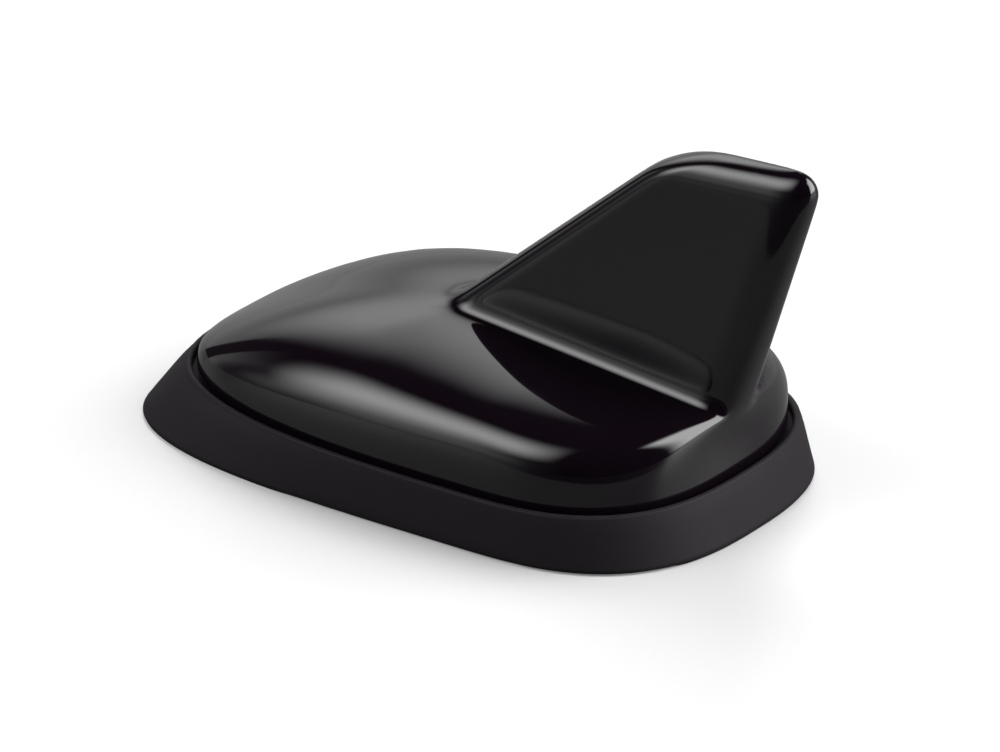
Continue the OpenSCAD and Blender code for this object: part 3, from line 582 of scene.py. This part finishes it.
# Painted light: the gloss sees the floor lighter behind the aerial, on the side the back lamps light.
behind = mask(floor_white, measured(floor_white, "DOT_PRODUCT", spot, direction(145, 0)), none=0.05, full=0.35)
paint = reckon(floor_white, "MAXIMUM", between(floor_white, behind, gloss_paint, gloss_paint_lit_behind),
               reckon(floor_white, "MULTIPLY", seen, eye_paint))
far_off = mask(floor_white, measured(floor_white, "LENGTH", spot), none=0.3, full=0.9)
open_share = reckon(floor_white, "MULTIPLY", far_off, reckon(floor_white, "SUBTRACT", 1.0, seen))
open_floor = nodes.new("ShaderNodeMixShader")
links.new(paint, shader.inputs["Base Color"])
links.new(reckon(floor_white, "MULTIPLY", seen, eye_glow), shader.inputs["Emission Strength"])
links.new(open_share, open_floor.inputs["Fac"])
links.new(shader.outputs["BSDF"], open_floor.inputs[1])
links.new(nodes.new("ShaderNodeBsdfTransparent").outputs[0], open_floor.inputs[2])
links.new(open_floor.outputs[0], nodes["Material Output"].inputs["Surface"])

world = bpy.data.worlds.new("room")
bpy.context.scene.world = world
world.use_nodes = True
nodes, links = world.node_tree.nodes, world.node_tree.links
view = nodes.new("ShaderNodeTexCoord").outputs["Generated"]
seen = nodes.new("ShaderNodeLightPath").outputs["Is Camera Ray"]
camera_side = mask(world, measured(world, "DOT_PRODUCT", view, direction(-40, 0)), none=0.85, full=-0.1)
overhead = mask(world, measured(world, "DOT_PRODUCT", view, direction(0, 90)), none=0.62, full=0.2)
left_patch = mask(world, measured(world, "DOT_PRODUCT", view, direction(-155, 2)), none=0.97, full=0.86)
off_band = mask(world, reckon(world, "ABSOLUTE", measured(world, "DOT_PRODUCT", view, direction(73, 0))),
                none=0.10, full=0.14)
tail_side = mask(world, measured(world, "DOT_PRODUCT", view, direction(163, 0)), none=0.1, full=-0.1)
room_level, patch_level, band_level = 0.45, 0.2, 0.05
room = room_level
for share in (camera_side, overhead, between(world, left_patch, patch_level, 1.0),
              reckon(world, "MAXIMUM", off_band, between(world, tail_side, band_level, 1.0))):
    room = reckon(world, "MULTIPLY", room, share)
nodes["Background"].inputs["Color"].default_value = (1.0, 1.0, 1.0, 1.0)
links.new(reckon(world, "MAXIMUM", room, seen), nodes["Background"].inputs["Strength"])


# Lamps
# Four soft boxes stand round the aerial and show in its gloss as broad strips with faded edges. A small lamp
# behind it throws its shadow forwards and stays out of the gloss.
def softbox(name, azimuth, elevation, width, height, level, soft_width, soft_height, turn=0, again=1.0):
    """Area lamp a metre off that faces the aerial, turned about its own axis. Its edges fade over the given
    shares of its width and height. Again is its strength in the mirror image of a mirror image."""
    way = direction(azimuth, elevation)
    facing = way.to_track_quat("Z", "Y") @ Quaternion((0.0, 0.0, 1.0), radians(turn))
    bpy.ops.object.light_add(type="AREA", location=way, rotation=facing.to_euler())
    bpy.context.object.name = name
    lamp = bpy.context.object.data
    lamp.shape = "RECTANGLE"
    lamp.size = width
    lamp.size_y = height
    lamp.energy = level * width * height * pi
    lamp.use_nodes = True
    nodes, links = lamp.node_tree.nodes, lamp.node_tree.links
    split = nodes.new("ShaderNodeSeparateXYZ")
    links.new(nodes.new("ShaderNodeNewGeometry").outputs["Parametric"], split.inputs["Vector"])
    mirrored = mask(lamp, nodes.new("ShaderNodeLightPath").outputs["Glossy Depth"], none=1.4, full=1.6)
    glow = between(lamp, mirrored, 1.0, again)
    for axis, share in (("X", soft_width), ("Y", soft_height)):
        from_edge = reckon(lamp, "PINGPONG", split.outputs[axis], 0.5)
        glow = reckon(lamp, "MULTIPLY", glow, mask(lamp, from_edge, none=0.0, full=share))
    links.new(glow, nodes["Emission"].inputs["Strength"])


softbox("left_softbox", azimuth=-126, elevation=42, turn=27, width=1.45, height=1.2, level=6.0, soft_width=0.4,
        soft_height=0.5, again=0.0)
softbox("left_fill", azimuth=-130, elevation=12, width=1.5, height=0.6, level=1.0, soft_width=0.5,
        soft_height=0.5, again=2.4)
softbox("right_softbox", azimuth=28, elevation=30, width=1.1, height=1.3, level=8.8, soft_width=0.2,
        soft_height=0.2)
softbox("back_softbox", azimuth=130, elevation=34.5, width=1.1, height=0.95, level=1.8, soft_width=0.4,
        soft_height=0.5)
softbox("floor_light", azimuth=128, elevation=55, width=0.6, height=0.6, level=12.0, soft_width=0.2,
        soft_height=0.2)
bpy.context.object.visible_glossy = False

# Black card
# A card a metre wide lies on the floor on the camera's side and keeps the near tail corner dark. It is seen in
# the gloss only.
card_azimuth, card_distance, card_lift = -50, 0.62, 0.0005
card_middle = direction(card_azimuth, 0) * card_distance + Vector((0.0, 0.0, card_lift))
bpy.ops.mesh.primitive_plane_add(size=1.0, location=card_middle, rotation=(0.0, 0.0, radians(card_azimuth)))
card = bpy.context.object
card.name = "black_card"
card.visible_camera = card.visible_diffuse = card.visible_shadow = False
card_black = bpy.data.materials.new("card_black")
card_black.use_nodes = True
shader = card_black.node_tree.nodes["Principled BSDF"]
shader.inputs["Base Color"].default_value = (0.02, 0.02, 0.02, 1.0)
shader.inputs["Roughness"].default_value = 0.3
card.data.materials.append(card_black)

# Camera
# A long lens behind and to the left of the aerial, looking down on it. Its place and lens were measured from
# the photograph's outlines.
camera_turn, camera_rise = 36.196, 24.908
camera_distance, camera_right, camera_down = 1.4014, 0.004404, 0.00595
aim = Vector((0.0, 0.0, 0.020))
towards = direction(camera_turn - 90.0, camera_rise)
right = direction(camera_turn, 0)
up = towards.cross(right)
bpy.ops.object.camera_add(
    location=aim + towards * camera_distance + right * camera_right - up * camera_down,
    rotation=(radians(90 - camera_rise), 0.0, radians(camera_turn)))
camera = bpy.context.object
camera.data.sensor_width = 36.0
camera.data.lens = 268.4
camera.data.clip_start = 0.01
bpy.context.scene.camera = camera
bpy.context.scene.view_settings.view_transform = "Standard"
